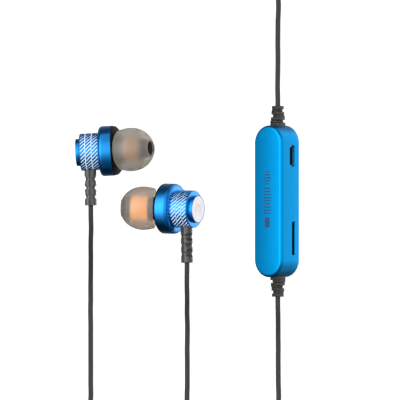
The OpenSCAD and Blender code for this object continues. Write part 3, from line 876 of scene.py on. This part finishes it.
def make_bud_relief(side):
    """Rubber boot: scalloped sides and a channel down the middle of each face. The right
    one is twisted a little by its cord."""
    roll = 32 if BUDS[side][3] else 0
    start = BARREL_R - 1.2
    edge = 0.14
    count = round((RELIEF_END - edge - start) / BOOT_STEP)
    stations = [start + BOOT_STEP * i for i in range(count)]
    stations += [RELIEF_END - edge, RELIEF_END - edge / 3, RELIEF_END]
    chord = math.sqrt(NOTCH_R**2 - (NOTCH_R - NOTCH_DEPTH) ** 2)
    rings = []
    for y in stations:
        half = RELIEF_HALF
        for notch in NOTCH_YS:
            off = abs(y - notch)
            if off < chord:
                half -= math.sqrt(NOTCH_R**2 - off**2) - (NOTCH_R - NOTCH_DEPTH)
        inset = {RELIEF_END: edge, RELIEF_END - edge / 3: edge / 3}.get(y, 0)
        seam = 0.45 if y < RELIEF_END - 0.6 else 0.45 * max(0, (RELIEF_END - 0.3 - y) / 0.3)
        outline = rounded_ring(
            -half + inset, half - inset, RELIEF_TALL - inset, RELIEF_ROUND, seam
        )
        rings.append([(a, -y, b) for a, b in outline])
    place = bud_place(side) @ Matrix.Translation((-BARREL_LEN / 2, 0, 0)) @ turn_y(roll)
    boot = cut(loft(rings, caps=True), boot_pockets())
    finish_piece(
        f"{side}_rubber_relief", boot, place, "headset",
        [f"{side}_strain_relief"], [FINISHES["relief_rubber"]], sharp=45,
    )


for side in BUDS:
    make_housing(side)
    make_disc(side)
    make_mesh_screen(side)
    make_tip(side)
    make_bud_relief(side)

# ---- control module ----

MODULE_PLACE = Matrix.Translation((38.44, 0, 0))
MODULE_HALF_W, MODULE_T, MODULE_LEN = 6.05, 10.3, 51.3
END_Y = MODULE_LEN / 2 - MODULE_HALF_W
EDGE_R, PARTING_Z, WALL, CROWN = 1.1, 4.15, 1.1, 0.26
SEAM = 0.06
CORD_Z = 4.6


def stadium(radius, z, side_steps=40, end_steps=48):
    """Ring of points round a full-round slot shape of that radius at height z."""
    ring = []
    for sign in (1, -1):
        for i in range(side_steps):
            ring.append((sign * radius, sign * END_Y * (2 * i / side_steps - 1), z))
        for i in range(end_steps):
            turn = math.radians(180 * i / end_steps) + (0 if sign > 0 else math.pi)
            ring.append((radius * math.cos(turn), sign * END_Y + radius * math.sin(turn), z))
    return ring


def crowned(radius):
    """Height of the front face, which is slightly domed."""
    return MODULE_T - CROWN * (radius / MODULE_HALF_W) ** 2


def front_profile():
    """(radius, z) of the front casing, from the middle of its face round to inside."""
    flat_r = MODULE_HALF_W - EDGE_R
    drop = crowned(flat_r)
    face = [(flat_r * i / 12, crowned(flat_r * i / 12)) for i in range(12)]
    edge = arc((flat_r, drop - EDGE_R), EDGE_R, 90, 0, 12)
    w = MODULE_HALF_W
    return face + edge + [
        (w, PARTING_Z + SEAM + 0.02), (w - 0.03, PARTING_Z + SEAM * 0.6), (w - SEAM, PARTING_Z),
        (w - WALL, PARTING_Z), (w - WALL, MODULE_T - WALL - 0.9),
        (w - WALL - 0.3, MODULE_T - WALL - 0.4), (w - WALL - 0.6, MODULE_T - WALL - 0.3),
        (0, MODULE_T - WALL),
    ]


def back_profile():
    w = MODULE_HALF_W
    edge = arc((w - EDGE_R, EDGE_R), EDGE_R, 270, 360, 12)
    return [(0, 0), *edge] + [
        (w, PARTING_Z - SEAM - 0.02), (w - 0.03, PARTING_Z - SEAM * 0.6), (w - SEAM, PARTING_Z),
        (w - WALL, PARTING_Z), (w - WALL, WALL + 0.4), (w - WALL - 0.4, WALL), (0, WALL),
    ]


def outline_cutter(outline, wider, x_in, x_out, bevel=0.16):
    """A bar along x with that (y, z) outline, which flares to a wider outline at the
    casing's face, so that the cut has a bevelled edge. x_out is outside the casing."""
    sign = 1 if x_out > x_in else -1
    face_x = sign * MODULE_HALF_W
    rings = [
        [(x_in, y, z) for y, z in outline],
        [(face_x - sign * bevel, y, z) for y, z in outline],
        [(face_x, y, z) for y, z in wider],
        [(x_out, y, z) for y, z in wider],
    ]
    bm = loft(rings, caps=True)
    bmesh.ops.recalc_face_normals(bm, faces=bm.faces)
    return bm


def slot_outline(y, z, width, height, radius, grow=0.0):
    w, h, r = width / 2 + grow, height / 2 + grow, radius + grow
    points = []
    for sy, sz, start in ((1, 1, 0), (-1, 1, 90), (-1, -1, 180), (1, -1, 270)):
        points += arc((y + sy * (w - r), z + sz * (h - r)), r, start, start + 90, 8)
    return points


USB = (15.3, 4.2, 7.2, 2.5, 1.2)
CARD = (-12.5, (2.9 + 4.25) / 2, 11.1, 1.35, 0.3)
KEY_YS, KEY_Z, KEY_W, KEY_H, KEY_PROUD = (13.5, 5.0, -3.5), 4.3, 6.2, 2.4, 0.4
PORT_YS, PORT_Z, PORT_R = (-10.0, -15.0), 6.35, 0.6
KEY_FLANGE, KEY_FLANGE_X = 0.25, (-4.9, -4.5)  # rim that holds a key behind the wall
MARK_RISE = 0.05
SOCKET_IN_X, KEY_IN_X = 0.5, -3.0  # how deep the openings are cut


def module_cutters():
    """What is cut from both casings: the ports, the key slots and the cord holes."""
    cutters = []
    for slot in (USB, CARD):
        cutters.append(outline_cutter(
            slot_outline(*slot), slot_outline(*slot, grow=0.16), SOCKET_IN_X,
            MODULE_HALF_W + 1,
        ))
    for y in KEY_YS:
        slot = (y, KEY_Z, KEY_W + 0.2, KEY_H + 0.2, KEY_H / 2)
        cutters.append(outline_cutter(
            slot_outline(*slot), slot_outline(*slot, grow=0.1), KEY_IN_X,
            -MODULE_HALF_W - 1, 0.1,
        ))
    for y in PORT_YS:
        hole = (y, PORT_Z, 2 * PORT_R, 2 * PORT_R, PORT_R - 0.001)
        cutters.append(outline_cutter(
            slot_outline(*hole), slot_outline(*hole, grow=0.12), KEY_IN_X,
            -MODULE_HALF_W - 1, 0.12,
        ))
    return cutters


def make_casing(name, node, profile):
    rings = [stadium(max(r, 0), z) for r, z in profile]
    bm = cut(loft(rings), module_cutters())
    finish_piece(
        name, bm, MODULE_PLACE, "headset", [node], [FINISHES["module_blue"]],
        sharp=25, weld=1e-4,
    )


PRINT_MARKS = (  # width across, length along, gap to the next
    (1.4, 0.5, 0.5), (2.4, 0.5, 0.5), (3.2, 0.5, 0.5), (2.4, 0.5, 0.5), (1.4, 0.5, 1.1),
    (3.0, 0.45, 0.6), (3.0, 0.45, 0.6), (3.0, 0.45, 0.6), (3.0, 0.45, 0.6), (3.0, 0.45, 0.6),
    (3.0, 0.45, 0.6), (3.0, 0.45, 0.6), (3.0, 0.45, 0.6), (3.0, 0.45, 1.1), (2.2, 3.6, 0.5),
)
PRINT_START_Y = 10.2


def make_print():
    """A generic column of printed bars and dots down the middle of the front face."""
    bm = bmesh.new()
    y = PRINT_START_Y
    for width, length, gap in PRINT_MARKS:
        middle = y - length / 2
        rings = []
        for z in (crowned(2) - 0.05, MODULE_T + 0.008):  # from inside the face to just over it
            outline = slot_outline(0, middle, width, length, min(width, length) * 0.28)
            rings.append([(a, b, z) for a, b in outline])
        join(bm, loft(rings, caps=True))
        y -= length + gap
    paint = plain("printed_ink", (0.0, 0.09, 0.26), (0.0, 0.08, 0.23), 0.45)
    finish_piece(
        "printed_marks", bm, MODULE_PLACE, "headset", [], [paint.material],
        weld=1e-5,
    )


make_print()
make_casing("front_casing", "module_front", front_profile())
make_casing("back_casing", "module_back", back_profile())


def make_key(name, node, body, y, marks):
    """A key with rounded edges and a plain raised mark."""
    face_x = -MODULE_HALF_W - KEY_PROUD
    rings = []
    for x, grow in (
        (face_x, -0.22), (face_x + 0.03, -0.1), (face_x + 0.1, -0.03), (face_x + 0.2, 0),
        (KEY_FLANGE_X[0] - 0.02, 0), *((x, KEY_FLANGE) for x in KEY_FLANGE_X),
    ):
        outline = slot_outline(y, KEY_Z, KEY_W, KEY_H, KEY_H / 2 - KEY_FLANGE, grow)
        rings.append([(x, a, b) for a, b in outline])
    bm = loft(rings, caps=True)
    for w, h in marks:
        outline = slot_outline(y, KEY_Z, w, h, min(w, h) / 2 - 0.01)
        ends = (face_x - MARK_RISE, face_x + MARK_RISE)
        join(bm, loft([[(x, a, b) for a, b in outline] for x in ends], caps=True))
    finish_piece(
        name, bm, MODULE_PLACE, body, [node], [FINISHES["module_blue"]]
    )


PLUS = ((1.3, 0.26), (0.26, 1.3))
MINUS = ((1.3, 0.26),)
DOT = ((0.7, 0.7),)
make_key("volume_up_cap", "volume_up_key", "volume_up_button", KEY_YS[0], PLUS)
make_key("call_cap", "call_key", "call_button", KEY_YS[1], DOT)
make_key("volume_down_cap", "volume_down_key", "volume_down_button", KEY_YS[2], MINUS)

RELIEF_LEN, STEPS, CORE_HALF = 6.6, (3.95, 3.7, 3.4, 3.15), 1.05
SLOT_YS, SLOT_LEN = (1.4, 3.2, 5.0), 0.9


def make_module_relief(name, node, turn):
    """Stepped rubber boot with slots cut from alternate sides."""
    base = MODULE_LEN / 2
    step = RELIEF_LEN / len(STEPS)
    stops = {-1.0, RELIEF_LEN, *(i * step for i in range(1, len(STEPS)))}
    for y in SLOT_YS:
        stops.update((y - SLOT_LEN / 2, y + SLOT_LEN / 2))
    stops = sorted(stops)
    edge = 0.12
    rings = []
    for y0, y1 in zip(stops, stops[1:]):
        middle = (y0 + y1) / 2
        half = STEPS[min(max(int(middle / step), 0), len(STEPS) - 1)] / 2
        left, right, tall = -half, half, half
        for i, y in enumerate(SLOT_YS):
            if abs(middle - y) < SLOT_LEN / 2:
                if i % 2 == 0:
                    right = CORE_HALF
                else:
                    left = -CORE_HALF
        for y, inset in ((y0, edge), (y0 + edge * 0.4, edge * 0.3), (y0 + edge, 0),
                         (y1 - edge, 0), (y1 - edge * 0.4, edge * 0.3), (y1, edge)):
            outline = rounded_ring(left + inset, right - inset, tall - inset, 0.5)
            rings.append([(a, base + y, CORD_Z - b) for a, b in outline])
    place = MODULE_PLACE @ turn_z(turn)
    finish_piece(
        name, loft(rings, caps=True), place, "headset", [node],
        [MODULE_RUBBER], sharp=45, weld=1e-5,
    )


make_module_relief("upper_rubber_relief", "upper_relief", 0)
make_module_relief("lower_rubber_relief", "lower_relief", 180)

# ---- finishes of the CAD nodes that stay ----

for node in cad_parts.values():
    if node.hide_render:
        continue
    for slot in node.material_slots:
        finish = FINISHES.get(slot.material.name.split(".")[0])
        if finish:
            slot.material = finish
